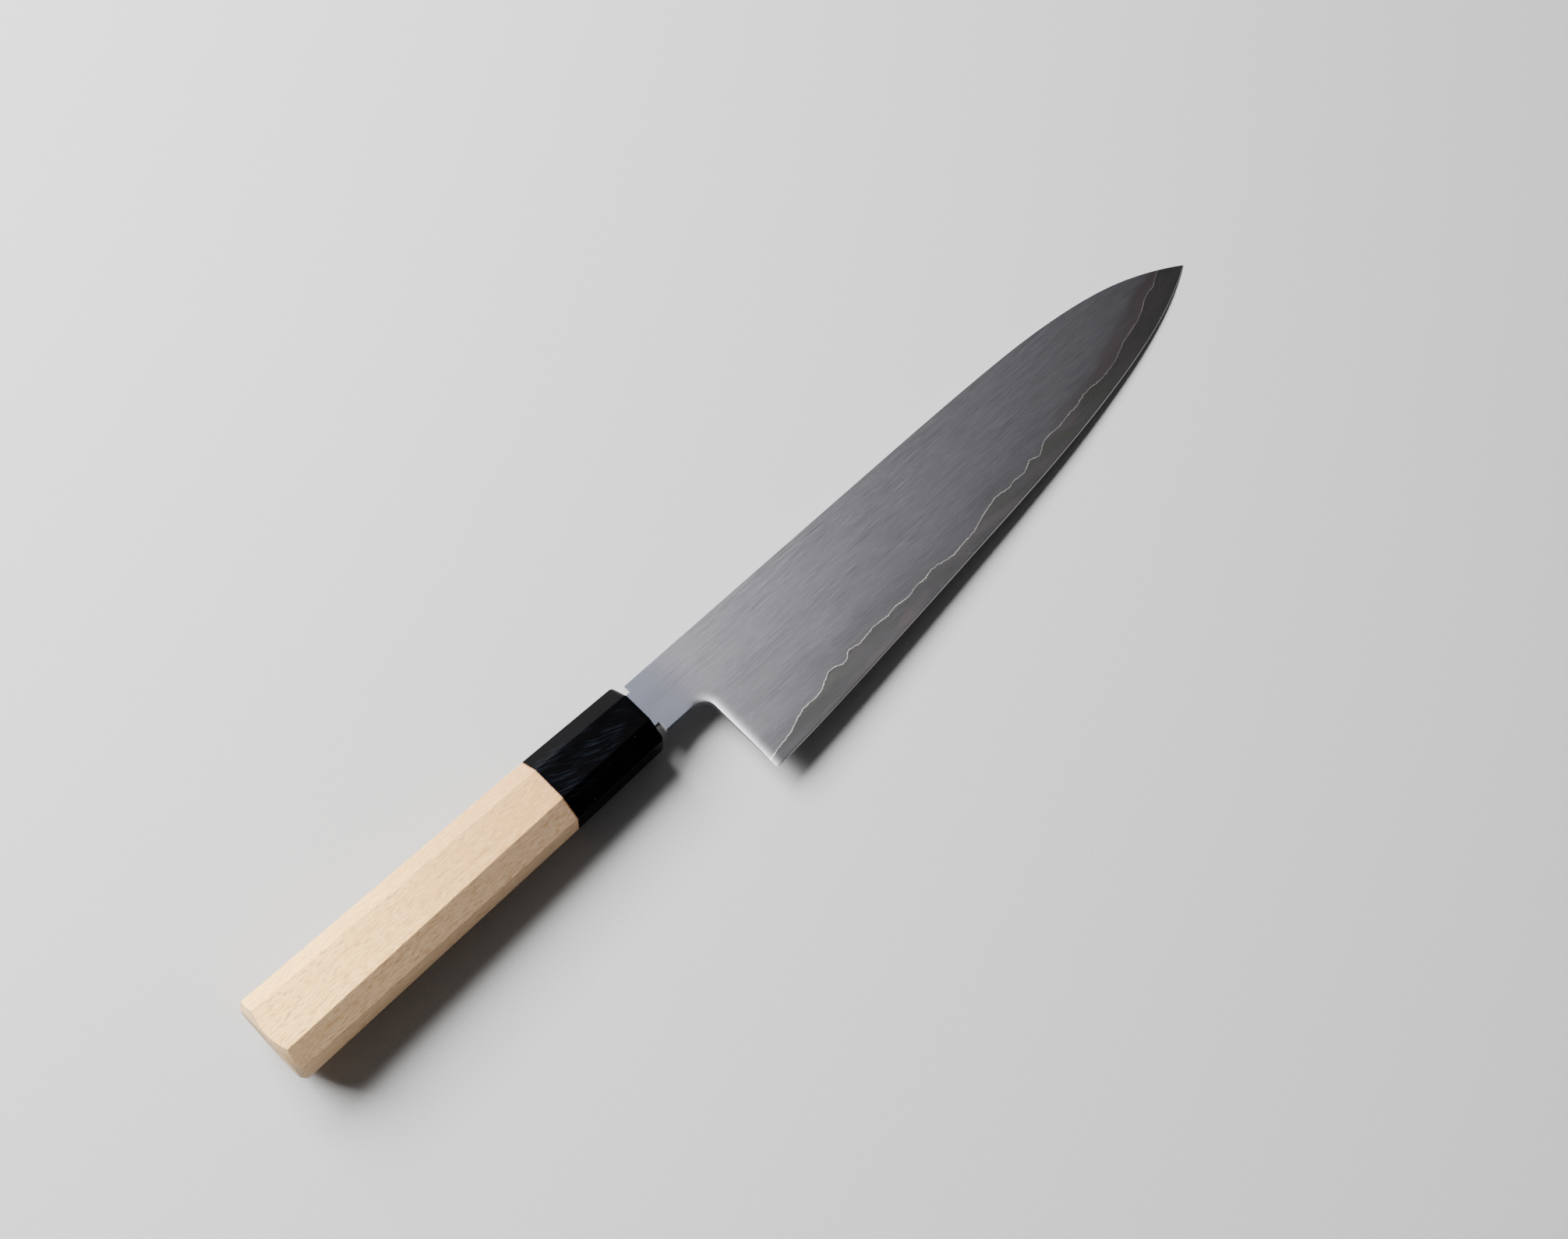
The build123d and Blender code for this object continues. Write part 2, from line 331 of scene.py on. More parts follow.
# Columns: how many the buried tang has, where they stand on the neck, their turns round the choil, their
# gaps beyond it, and the even gaps of the rest of the blade and of its tip.
TANG_COLUMNS = 12
NECK_COLUMNS = [SHOULDER_X, 3.3, 4.5, 6.0, 8.0, 10.0, 12.0]
CHOIL_TURNS = range(0, 90, 6)
HEEL_GAPS = (0, 0.3, 0.6, 0.9, 1.3, 1.8, 2.4)
BLADE_GAP, TIP_GAP = 0.7, 0.35
BLADE_START_X, TIP_START_X = CHOIL_X + 3.1, 219.0

right_border = smooth(RIGHT_BORDER)
left_border = smooth(LEFT_BORDER)
right_end = crossing(right_border)
left_end = crossing(left_border)


def blade_columns():
    """Where the columns stand, closer together at the neck, the choil and the tip."""
    tang = list(np.linspace(-TANG_DEPTH, -TANG_FLUSH_DEPTH - 0.3, TANG_COLUMNS))
    tang += [-TANG_FLUSH_DEPTH, 0.0, SHOULDER_X / 2]
    arc = [CHOIL_X - CHOIL_RADIUS * (1 - math.sin(math.radians(turn))) for turn in CHOIL_TURNS]
    heel = [CHOIL_X + gap for gap in HEEL_GAPS]
    blade = list(np.arange(BLADE_START_X, TIP_START_X, BLADE_GAP))
    tip = [*np.arange(TIP_START_X + 0.1, TIP[0], TIP_GAP), TIP[0]]
    ends = [end - gap for end in (right_end, left_end) for gap in (CORE_STEP, 0)]
    return np.array(sorted(tang + NECK_COLUMNS + arc + heel + blade + tip + ends))


COLUMNS = blade_columns()
SHOULDER_COLUMN = int(np.searchsorted(COLUMNS, SHOULDER_X))
CHOIL_COLUMN = int(np.searchsorted(COLUMNS, CHOIL_X))


def row_heights(x, border, strip):
    """Where the rows cross the column at x."""
    top = float(spine_y(x))
    edge = float(edge_y(x))
    bevel = min(edge + BEVEL_HEIGHT, top)
    seam = min(float(border(x)), top)
    strip_top = min(seam + strip * math.hypot(1, slope_at(border, x)), top)
    level = (NECK_BOTTOM_Y - CHOIL_RADIUS - border(CHOIL_X)) / (SPINE_Y - border(CHOIL_X))
    middle = strip_top + (top - strip_top) * float(level)
    if x <= CHOIL_X:
        reach = max(0.0, x - (CHOIL_X - CHOIL_RADIUS))
        middle = NECK_BOTTOM_Y - CHOIL_RADIUS + math.sqrt(CHOIL_RADIUS**2 - reach**2)
    heights = [edge, bevel, *(bevel + (seam - bevel) * share for share in CORE_ROWS), seam, strip_top]
    heights += [strip_top + (middle - strip_top) * share for share in LOWER_ROWS]
    return [min(y, top) for y in heights + [middle + (top - middle) * share for share in UPPER_ROWS]]


def tang_section(x):
    """The tang's centre height, height and thickness at x."""
    share = min(1.0, max(0.0, -x / TANG_DEPTH))
    return [a + (b - a) * share for a, b in zip(TANG_ROOT, TANG_END)]


def surface(border, end, side, strip, sunk):
    """A grid of places and normals on one side of the blade.

    It follows the ground face and, from row sunk up, the core's face under the cladding.
    """
    x = np.repeat(COLUMNS[:, None], LAST_ROW + 1, axis=1)
    y = np.array([row_heights(column, border, strip) for column in COLUMNS])
    z = half_thickness(x, y)
    normals = face_normals(x, np.maximum(y, edge_y(x) + BEVEL_HEIGHT + NORMAL_LIFT), side)
    normals[:, 0] = face_normals(x[:, 0], edge_y(x[:, 0]) + BEVEL_HEIGHT / 2, side)
    for i, column in enumerate(COLUMNS[:SHOULDER_COLUMN]):
        centre, height, thickness = tang_section(column)
        y[i] = centre + height * ((np.arange(LAST_ROW + 1) - TANG_FIRST_ROW) / TANG_ROWS - 0.5)
        z[i] = thickness / 2 if column < -TANG_FLUSH_DEPTH else half_thickness(x[i], y[i])
    under = (np.arange(LAST_ROW + 1)[None] >= sunk) & (x < end - CORE_STEP / 2)
    z = np.where(under, np.minimum(z, core_half(x)), z)
    return np.concatenate([np.stack([x, y, side * z], axis=-1), rubbed(x, y, normals)], axis=-1)


def rubbed(x, y, normals):
    """The normals, tilted outward near the choil, where the polishing has worn the face off."""
    away, distance = from_choil(x, y)
    tilt = math.tan(CHOIL_TILT) * np.exp(-distance / CHOIL_TILT_REACH)
    tilt = tilt * np.clip((x - CHOIL_TILT_START_X) / CHOIL_TILT_RUN, 0, 1)
    return unit(normals - away * tilt[..., None])


def from_choil(x, y):
    """The way straight off the outline of the neck and the choil, and the distance from it."""
    centre_x, centre_y = CHOIL_X - CHOIL_RADIUS, NECK_BOTTOM_Y - CHOIL_RADIUS
    away = np.maximum(np.stack([x - centre_x, y - centre_y, x * 0], axis=-1), 0)
    reach = np.maximum(np.linalg.norm(away, axis=-1), 1e-6)
    return away / reach[..., None], np.maximum(reach - CHOIL_RADIUS, 0)


def has_cell(i, j, first_row, last_column):
    """Whether the piece fills the grid cell beyond column i and row j."""
    if i < SHOULDER_COLUMN:
        return 0 <= i and TANG_FIRST_ROW <= j < TANG_LAST_ROW
    if i < CHOIL_COLUMN:
        return CHOIL_ROW <= j < LAST_ROW
    return i < last_column and first_row <= j < LAST_ROW


def outline_loop(first_row, last_column):
    """The grid corners round the piece in order, anticlockwise as seen from the right side."""
    after = {}
    for i in range(last_column):
        for j in range(LAST_ROW):
            if not has_cell(i, j, first_row, last_column):
                continue
            corners = [(i, j), (i + 1, j), (i + 1, j + 1), (i, j + 1)]
            beside = [(i, j - 1), (i + 1, j), (i, j + 1), (i - 1, j)]
            for k, (a, b) in enumerate(beside):
                if not has_cell(a, b, first_row, last_column):
                    after[corners[k]] = corners[(k + 1) % 4]
    loop = [next(iter(after))]
    while after[loop[-1]] != loop[0]:
        loop.append(after[loop[-1]])
    return loop


def ease_at(i, j, first_row):
    """The radius that a cladding's outer edge is rounded to, at a grid corner on its outline."""
    if COLUMNS[i] <= 0 or (j == first_row and i >= CHOIL_COLUMN):
        return 0.0
    if i == CHOIL_COLUMN and j < CHOIL_ROW:
        return RIM_EASE * min(1.0, (j - first_row) / RIM_ROWS)
    return RIM_EASE * min(1.0, (TIP[0] - COLUMNS[i]) / RIM_TIP_RUN)


def rim(over, under, loop, first_row, eased):
    """For each corner of the outline: its place, the shift inward, the rounding's depth and two ways out.

    The first way out is straight off the stretch that starts there, and the second is the corner's own.
    """
    spots = np.array([over[i, j, :3] for i, j in loop])
    runs = np.roll(spots, -1, axis=0)[:, :2] - spots[:, :2]
    lengths = np.maximum(np.linalg.norm(runs, axis=1), 1e-9)
    outs = np.stack([runs[:, 1], -runs[:, 0]], axis=-1) / lengths[:, None]
    mean = outs + np.roll(outs, 1, axis=0)
    mean = mean / np.maximum(np.linalg.norm(mean, axis=1), 1e-9)[:, None]
    mitre = 1 / np.maximum(0.5, (mean * outs).sum(axis=1))
    depths = np.zeros(len(loop))
    if eased:
        thickness = np.array([abs(over[i, j, 2] - under[i, j, 2]) for i, j in loop])
        depths = np.minimum([ease_at(i, j, first_row) for i, j in loop], RIM_THICKNESS_SHARE * thickness)
    shifts = np.zeros((len(loop), 3))
    shifts[:, :2] = mean * (mitre * depths)[:, None]
    return spots, shifts, depths, outs, mean


def cell(grid, i, j):
    """The corners of the grid cell beyond column i and row j. The edge bevel's face one way throughout."""
    corners = [grid[i, j], grid[i + 1, j], grid[i + 1, j + 1], grid[i, j + 1]]
    if j == 0:
        bevel = [grid[a, 0, 3:] for a in (i, i + 1, i + 1, i)]
        corners = [corner(spot[:3], normal) for spot, normal in zip(corners, bevel)]
    return corners


def walls(skin, over, under, side, loop, edges):
    """The layer's outer rim, rounded off at over and square to the face at under."""
    spots, shifts, depths, outs, mean = edges
    for k, here in enumerate(loop):
        after = (k + 1) % len(loop)
        if abs(outs[k]).sum() < 0.5:
            continue
        columns = []
        for n, (i, j) in ((k, here), (after, loop[after])):
            out = mean[n] if mean[n] @ outs[k] > 0.9 else outs[k]
            wall = np.array([out[0], out[1], 0.0])
            top = over[i, j]
            column = [top]
            for turn in (RIM_TURNS if depths[n] > 0 else [math.pi / 2] * len(RIM_TURNS)):
                place = spots[n] - shifts[n] * (1 - math.sin(turn))
                place = place - np.array([0, 0, side * depths[n] * (1 - math.cos(turn))])
                column.append(corner(place, unit(top[3:] * math.cos(turn) + wall * math.sin(turn))))
            columns.append(column + [corner(under[i, j, :3], wall)])
        for (a, b), (c, d) in zip(zip(*columns), list(zip(*columns))[1:]):
            skin.face(a, c, d, b, turned=side < 0)


def plate(over, under, side, first_row, last_column=len(COLUMNS) - 1, eased=False):
    """A closed layer between two grids. over is its outer surface, on the side of +Z or -Z."""
    skin = Skin()
    over = over.copy()
    loop = outline_loop(first_row, last_column)
    edges = rim(over, under, loop, first_row, eased)
    for (i, j), shift in zip(loop, edges[1]):
        over[i, j, :3] -= shift
    for i in range(last_column):
        for j in range(LAST_ROW):
            if has_cell(i, j, first_row, last_column):
                skin.face(*cell(over, i, j), turned=side < 0)
                skin.face(*cell(under, i, j), turned=side > 0)
    walls(skin, over, under, side, loop, edges)
    return skin


def seam_distance(places):
    """How far each point is above the seam, across its line, in millimetres."""
    x, y, z = places.T
    values = []
    for border in (right_border, left_border):
        values.append((y - border(x)) / np.hypot(1, slope_at(border, x)))
    return np.where(z >= 0, *values)


def edge_distance(places):
    return places[:, 1] - edge_y(places[:, 0])


def choil_distance(places):
    return from_choil(places[:, 0], places[:, 1])[1]


BLADE_MARKS = {"seam_mm": seam_distance, "edge_mm": edge_distance, "choil_mm": choil_distance}


def core_steel():
    over = surface(right_border, right_end, 1, CORE_STEP, SEAM_ROW + 1)
    under = surface(left_border, left_end, -1, CORE_STEP, SEAM_ROW + 1)
    return plate(over, under, 1, 0).build("core_steel_look", BLADE_MARKS)


def cladding(name, border, end, side):
    over = surface(border, end, side, SEAM_STRIP, LAST_ROW + 1)
    under = surface(border, end, side, SEAM_STRIP, 0)
    last_column = int(np.searchsorted(COLUMNS, end - 1e-9))
    return plate(over, under, side, SEAM_ROW, last_column, eased=True).build(name, BLADE_MARKS)


# --- Handle: closed chains of rings round the knife's axis -----------------------------------------------

LEAN = math.atan(SLANTED_FACET_SLOPE)
FACET_ANGLES = [0, LEAN, math.pi / 2, math.pi - LEAN, math.pi, math.pi + LEAN, math.pi * 1.5, math.tau - LEAN]
RIDGE_STEPS = 4
FACET_STEPS = 10
EASE_STEPS = 3
FRONT_STEPS = 10
ROUND_RING_POINTS = 48


class Ring:
    """A loop of points round the axis, anticlockwise as seen from the tip.

    It has normals where it is on a smooth skin.
    """

    def __init__(self, places, normals=None):
        self.places = np.array(places, float)
        self.normals = None if normals is None else np.array(normals, float)


def facet_distances(sizes):
    """How far each facet of an octagon is from the axis."""
    height, thickness, broad = sizes
    slanted = math.cos(LEAN) * broad + math.sin(LEAN) * thickness / 2
    quarter = [height / 2, slanted, thickness / 2, slanted]
    return np.array(quarter * 2)


def section(sizes, inset=0.0):
    """An octagon with rounded ridges, drawn in by inset: places in Y and Z, and the ways they face."""
    distances = facet_distances(sizes) - inset - RIDGE_RADIUS
    ridges = []
    for k, angle in enumerate(FACET_ANGLES):
        after = FACET_ANGLES[(k + 1) % 8] + (math.tau if k == 7 else 0)
        lines = [[math.cos(angle), math.sin(angle)], [math.cos(after), math.sin(after)]]
        centre = np.linalg.solve(lines, [distances[k], distances[(k + 1) % 8]])
        turns = np.linspace(angle, after, RIDGE_STEPS + 1)
        outs = np.stack([np.cos(turns), np.sin(turns)], axis=1)
        ridges.append((centre + RIDGE_RADIUS * outs, outs))
    places, facing = [], []
    for (ridge, outs), (following, _) in zip(ridges, ridges[1:] + ridges[:1]):
        across = np.linspace(ridge[-1], following[0], FACET_STEPS + 1)[1:-1]
        places += [ridge, across]
        facing += [outs, np.repeat(outs[-1:], len(across), axis=0)]
    return np.concatenate(places), np.concatenate(facing)


def octagon_ring(x, sizes, inset=0.0, tilt=0.0, taper=0.0):
    """A section as a ring. tilt turns its normals towards the tip, in radians."""
    places, outs = section(sizes, inset)
    along = np.full((len(places), 1), math.sin(tilt) + taper * math.cos(tilt))
    places = np.concatenate([np.full((len(places), 1), x), places], axis=1)
    return Ring(places, unit(np.concatenate([along, outs * math.cos(tilt)], axis=1)))


def round_ring(x, radius):
    turns = np.linspace(0, math.tau, ROUND_RING_POINTS, endpoint=False)
    return Ring([[x, radius * math.cos(turn), radius * math.sin(turn)] for turn in turns])


def slot_ring(x):
    """The outline of the tang's slot at x, as a ring."""
    share = -x / SLOT_DEPTH
    centre, height, thickness = (a + (b - a) * share for a, b in zip(SLOT_MOUTH, SLOT_END))
    corners = [(1, -1), (1, 1), (-1, 1), (-1, -1)]
    return Ring([[x, centre + a * height / 2, b * thickness / 2] for a, b in corners])


def flat(places):
    """Corners with the normal of the plane through them."""
    normal = unit(np.cross(places[1] - places[0], places[-1] - places[0]))
    return [corner(place, normal) for place in places]


def band(skin, a, b):
    """The surface between two rings. It is smooth if both have normals, and otherwise flat."""
    count = len(a.places)
    if count != len(b.places):
        stitch(skin, a, b)
        return
    for k in range(count):
        after = (k + 1) % count
        quad = [a.places[k], a.places[after], b.places[after], b.places[k]]
        if a.normals is None or b.normals is None:
            skin.face(*flat(quad))
        else:
            normals = [a.normals[k], a.normals[after], b.normals[after], b.normals[k]]
            skin.face(*(corner(place, normal) for place, normal in zip(quad, normals)))


def stitch(skin, a, b):
    """Flat triangles between two rings of different counts, paired by their turn round the axis."""
    count, other = len(a.places), len(b.places)
    centre = b.places.mean(axis=0) if other < count else a.places.mean(axis=0)
    turns = [np.unwrap(np.arctan2(*(ring.places - centre)[:, [2, 1]].T)) for ring in (a, b)]
    start = int(np.argmin(np.abs((turns[1] - turns[0][0] + math.pi) % math.tau - math.pi)))
    turns[1] = np.roll(turns[1], -start)
    turns[1] = np.unwrap(turns[1]) - round((turns[1][0] - turns[0][0]) / math.tau) * math.tau
    order = np.roll(np.arange(other), -start)
    i = j = 0
    while i < count or j < other:
        next_a = turns[0][i + 1] if i + 1 < count else turns[0][0] + math.tau
        next_b = turns[1][j + 1] if j + 1 < other else turns[1][0] + math.tau
        here = [a.places[i % count], b.places[order[j % other]]]
        if j == other or (i < count and next_a <= next_b):
            i += 1
            skin.face(*flat([here[0], a.places[i % count], here[1]]))
        else:
            j += 1
            skin.face(*flat([here[0], b.places[order[j % other]], here[1]]))


def chain(skin, rings, closed=False):
    """Bands through the rings in order, closed on themselves or with a flat cap at each end."""
    for a, b in zip(rings, rings[1:]):
        band(skin, a, b)
    if closed:
        band(skin, rings[-1], rings[0])
    else:
        skin.face(*flat(list(rings[0].places[::-1])))
        skin.face(*flat(list(rings[-1].places)))


def rounded_end(x, sizes, radius, start, end, taper, steps):
    """Rings round an end's edge. The rounding is centred at x, and its normals tilt from start to end."""
    rings = []
    for tilt in np.linspace(start, end, steps + 1):
        inset = radius * (1 - math.cos(tilt))
        rings.append(octagon_ring(x + radius * math.sin(tilt), sizes, inset, tilt, taper))
    return rings


def butt_rings():
    """The flat end, the cone that the rim is sanded to, and the start of the facets."""
    rear, outs = section(BUTT_OCTAGON)
    front, _ = section(JOINT_OCTAGON)
    half = np.array(BUTT_OCTAGON[:2]) / 2
    spread = np.linalg.norm(rear / half, axis=1, keepdims=True)
    start = (spread - BUTT_FACE_SHARE) * BUTT_CONE_RUN
    cone = unit(np.concatenate([np.full_like(spread, -1 / BUTT_CONE_RUN), rear / half**2 / spread], axis=1))
    end = np.concatenate([np.full_like(spread, -1), outs * 0], axis=1)
    facets = unit(np.concatenate([np.full_like(spread, HANDLE_TAPER), outs], axis=1))
    rings = []
    flush = start * 0
    steps = [(flush, BUTT_EASE, end), (flush + BUTT_EASE, 0, cone), (start - BUTT_EASE, 0, cone)]
    for run, shrink, normals in steps:
        places = rear / spread * (BUTT_FACE_SHARE + run / BUTT_CONE_RUN) * (1 - shrink / half.mean())
        rings.append(Ring(np.concatenate([BUTT_X + run, places], axis=1), normals))
    run = start + BUTT_EASE
    places = rear + (front - rear) * run / WOOD_LENGTH
    return rings + [Ring(np.concatenate([BUTT_X + run, places], axis=1), facets)]


def handle_body():
    skin = Skin()
    rim_x = JOINT_X - EDGE_EASE
    joint = rounded_end(rim_x, JOINT_OCTAGON, EDGE_EASE, 0, math.pi / 2, HANDLE_TAPER, EASE_STEPS)
    tenon_end = JOINT_X + TENON_LENGTH
    tenon = [round_ring(x, TENON_RADIUS) for x in (JOINT_X, tenon_end)]
    chain(skin, butt_rings() + joint + tenon + [slot_ring(tenon_end), slot_ring(-SLOT_DEPTH)])
    return skin.build("handle_wood")


def horn_ferrule():
    skin = Skin()
    rear_x = JOINT_X + JOINT_LINE
    bore_end = JOINT_X + TENON_LENGTH + GLUE_GAP
    quarter, radius = math.pi / 2, FERRULE_FRONT_RADIUS
    joint = rounded_end(rear_x + EDGE_EASE, JOINT_OCTAGON, EDGE_EASE, -quarter, 0, FERRULE_TAPER, EASE_STEPS)
    front = rounded_end(-radius, FRONT_OCTAGON, radius, 0, quarter, FERRULE_TAPER, FRONT_STEPS)
    bore = [round_ring(bore_end, TENON_RADIUS + GLUE_GAP), round_ring(rear_x, TENON_RADIUS + GLUE_GAP)]
    chain(skin, joint + front + [slot_ring(0.0), slot_ring(bore_end)] + bore, closed=True)
    return skin.build("horn_ferrule_look")


def ferrule_glue():
    """The thin line of glue between wood and horn, and the sleeve of it round the tenon."""
    skin = Skin()
    front_x = JOINT_X + JOINT_LINE
    tenon_end = JOINT_X + TENON_LENGTH
    bore, bore_end = TENON_RADIUS + GLUE_GAP, tenon_end + GLUE_GAP
    line = [octagon_ring(x, JOINT_OCTAGON, GLUE_LINE_DEPTH) for x in (JOINT_X, front_x)]
    sleeve = [round_ring(x, bore) for x in (front_x, bore_end)]
    sleeve += [slot_ring(x) for x in (bore_end, tenon_end)]
    inside = [round_ring(x, TENON_RADIUS) for x in (tenon_end, JOINT_X)]
    chain(skin, line + sleeve + inside, closed=True)
    return skin.build("glue_line")


# --- Materials -------------------------------------------------------------------------------------------

class Nodes:
    """A material's node tree, with short ways to add to it."""

    def __init__(self, name):
        self.material = bpy.data.materials.new(name)
        self.material.use_nodes = True
        self.tree = self.material.node_tree
        self.tree.nodes.clear()
        self.shader = self.add("BsdfPrincipled")
        output = self.add("OutputMaterial")
        self.tree.links.new(self.shader.outputs["BSDF"], output.inputs["Surface"])

    def add(self, kind, settings=None, **inputs):
        node = self.tree.nodes.new("ShaderNode" + kind)
        for key, value in (settings or {}).items():
            setattr(node, key, value)
        for key, value in inputs.items():
            self.plug(node.inputs[key.replace("_", " ")], value)
        return node

    def plug(self, socket, value):
        if isinstance(value, bpy.types.NodeSocket):
            self.tree.links.new(value, socket)
        else:
            socket.default_value = (*value, 1) if socket.type == "RGBA" else value

    def math(self, kind, a, b=0.0):
        node = self.add("Math", {"operation": kind})
        self.plug(node.inputs[0], a)
        self.plug(node.inputs[1], b)
        return node.outputs[0]

    def times(self, a, b):
        return self.math("MULTIPLY", a, b)

    def plus(self, a, b):
        return self.math("ADD", a, b)

    def mix(self, share, a, b):
        node = self.add("Mix", {"data_type": "RGBA"})
        for socket, value in zip((node.inputs[0], node.inputs[6], node.inputs[7]), (share, a, b)):
            self.plug(socket, value)
        return node.outputs[2]

    def mark(self, name, output="Fac"):
        return self.add("Attribute", {"attribute_name": name}).outputs[output]

    def axis(self, vector, index):
        """One part of a vector: 0 for X, 1 for Y and 2 for Z."""
        return self.add("SeparateXYZ", Vector=vector).outputs[index]

    def facing(self, index):
        """How far the surface faces along an axis of the row frame, from -1 to 1."""
        return self.axis(self.add("NewGeometry").outputs["Normal"], index)

    def stretched(self, vector, scale, turn=0.0):
        """vector for a pattern with scale repeats per unit, whose X is turned in the XY plane."""
        node = self.add("Mapping", {"vector_type": "TEXTURE"}, Vector=vector)
        node.inputs["Rotation"].default_value = (0, 0, turn)
        node.inputs["Scale"].default_value = [1 / repeats for repeats in scale]
        return node.outputs["Vector"]

    def noise(self, vector, scale=1.0, detail=3.0, roughness=0.5):
        return self.add("TexNoise", Vector=vector, Scale=scale, Detail=detail, Roughness=roughness).outputs[0]

    def span(self, value, low, high, out_low=0.0, out_high=1.0, smoothly=True):
        """value from low..high laid on out_low..out_high, and held at its ends."""
        kind = "SMOOTHSTEP" if smoothly else "LINEAR"
        node = self.add("MapRange", {"interpolation_type": kind, "clamp": True}, Value=value)
        for key, number in zip(("From Min", "From Max", "To Min", "To Max"), (low, high, out_low, out_high)):
            node.inputs[key].default_value = number
        return node.outputs["Result"]

    def bump(self, height, distance, strength):
        return self.add("Bump", Height=height, Distance=distance, Strength=strength).outputs["Normal"]

    def finish(self, **inputs):
        for key, value in inputs.items():
            self.plug(self.shader.inputs[key.replace("_", " ")], value)
        return self.material


# Tones are linear RGB. A pair runs from light to dark.
CORE_STEEL = (0.23, 0.219, 0.226), (0.13, 0.124, 0.129)
CLADDING_STEEL = (0.43, 0.415, 0.452), (0.235, 0.227, 0.248)
# Painted shade over the seam, for the darker reflection off the curved face: wide, close, and warm near the
# tip.
SEAM_SHADE_WIDE = (0.19, 0.19, 0.205)
SEAM_SHADE_CLOSE = (0.18, 0.18, 0.20)
SEAM_SHADE_WARM = (0.20, 0.17, 0.175)
CORE_PINK = (0.24, 0.205, 0.205)
CORE_HEEL = (0.098, 0.10, 0.10)
CORE_OLIVE = (0.165, 0.168, 0.145)
CORE_TIP = (0.11, 0.105, 0.10)
HEEL_GREY = (0.17, 0.165, 0.18)
NECK_BLUE = (0.13, 0.145, 0.185)
# A highlight painted round the choil.
CHOIL_PAINTED_HIGHLIGHT = (0.62, 0.61, 0.62)
SCRATCH_BRIGHT = (0.60, 0.60, 0.62)
LINE_HEEL, LINE_TIP = (0.72, 0.71, 0.65), (0.46, 0.41, 0.39)
# A highlight painted along the edge's bevel.
BEVEL_PAINTED_HIGHLIGHT = (0.85, 0.85, 0.85)
# Painted light: the cream tone of the lit shoulders by the tang.
SHOULDER_PAINTED_LIGHT = (0.80, 0.76, 0.68)
# Two sets of scratches: the slant to the blade in radians, and how far the pattern is moved.
SCRATCHES = ((0.7, 3.0), (-0.5, 17.0))

WOOD_LIGHT, WOOD_DARK = (0.99, 0.62, 0.205), (0.84, 0.48, 0.135)
WOOD_RINGS = (0.84, 0.45, 0.12)
WOOD_FRONT = (0.45, 0.24, 0.085)
WOOD_JOINT = (0.36, 0.17, 0.06)
# Painted shade for the facets on the edge's side.
WOOD_SHADED_SIDE = (0.56, 0.40, 0.275)
WOOD_END_GRAIN = (0.36, 0.265, 0.16)
WOOD_STREAKS = (0.42, 0.21, 0.08)
WOOD_PORES = (0.36, 0.19, 0.075)
WOOD_FLASH = (0.95, 0.68, 0.33)

HORN_BLACK = (0.0010, 0.0010, 0.0012)
HORN_BLUE = (0.0078, 0.0102, 0.0150)
HORN_BROWN = (0.0050, 0.0030, 0.0032)
HORN_SPECKS = (0.10, 0.11, 0.12)
HORN_STREAK_TURN = math.radians(-22)

GLUE = (0.36, 0.19, 0.08), (0.22, 0.10, 0.04)
RESIN = (0.030, 0.028, 0.026), (0.015, 0.014, 0.014)
PAPER_LIGHT, PAPER_DARK, PAPER_CLOUD = (0.39, 0.39, 0.39), (0.36, 0.36, 0.36), (0.35, 0.35, 0.35)


def steel(name, light, dark):
    """Satin steel with hairlines along the blade.

    The bonded line is bright. Highlights are painted along the edge's bevel and round the choil, and shade
    over the seam. The shoulders by the tang are unpolished, and painted light gives them a cream tone.
    """
    n = Nodes(name)
    place = n.mark("knife_mm", "Vector")
    seam, edge = n.mark("seam_mm"), n.mark("edge_mm")
    along = n.axis(place, 0)
    hair = n.noise(n.stretched(place, (0.11, 3.2, 3.2)), detail=5.0, roughness=0.75)
    brush = n.noise(n.stretched(place, (0.05, 0.9, 0.9)), detail=4.0, roughness=0.65)
    bands = n.noise(n.stretched(place, (0.022, 0.16, 0.16)), detail=2.0, roughness=0.45)
    tone = n.mix(n.span(hair, 0.25, 0.75), dark, light)
    tone = n.mix(n.times(n.span(brush, 0.35, 0.7), 0.18), tone, dark)
    tone = n.mix(n.times(n.span(bands, 0.36, 0.64), 0.36), tone, dark)
    # Painted shade darkens the steel near and above the seam.
    tone = seam_shaded(n, place, along, seam, tone)
    tone = patched_core(n, place, along, seam, tone)
    tone = toned_neck(n, along, tone)
    tone = scratched(n, place, tone)
    line = bonded_line(n, place, seam)
    tone = n.mix(line, tone, n.mix(n.span(along, 110, 215), LINE_HEEL, LINE_TIP))
    # A highlight is painted along the edge's bevel, faint near the heel and strong towards the tip.
    bevel = n.times(n.span(edge, 0.24, 0.36, 1.0, 0.0), n.span(along, 50, 150, 0.25, 0.95))
    tone = n.mix(bevel, tone, BEVEL_PAINTED_HIGHLIGHT)
    # The shoulders get painted light in a cream tone. They are also rougher and less metallic, as unpolished
    # steel.
    shoulder = n.times(n.span(n.facing(0), -0.6, -0.85), n.span(along, 6.0, 5.0))
    tone = n.mix(shoulder, tone, SHOULDER_PAINTED_LIGHT)
    rough = n.span(hair, 0.2, 0.8, 0.37, 0.43, smoothly=False)
    rough = n.plus(rough, n.span(bands, 0.35, 0.65, -0.015, 0.02))
    rough = n.plus(rough, n.times(line, 0.08))
    rough = n.plus(rough, n.times(shoulder, 0.3))
    metallic = n.math("SUBTRACT", 1.0, n.times(shoulder, 0.7))
    normal = n.bump(n.plus(hair, n.times(brush, 1.5)), 0.001 * MM, 1.0)
    tangent = n.add("Tangent", {"direction_type": "UV_MAP", "uv_map": "across"}).outputs[0]
    looks = {"Base_Color": tone, "Metallic": metallic, "Roughness": rough, "Normal": normal}
    return n.finish(**looks, Anisotropic=0.65, Tangent=tangent)


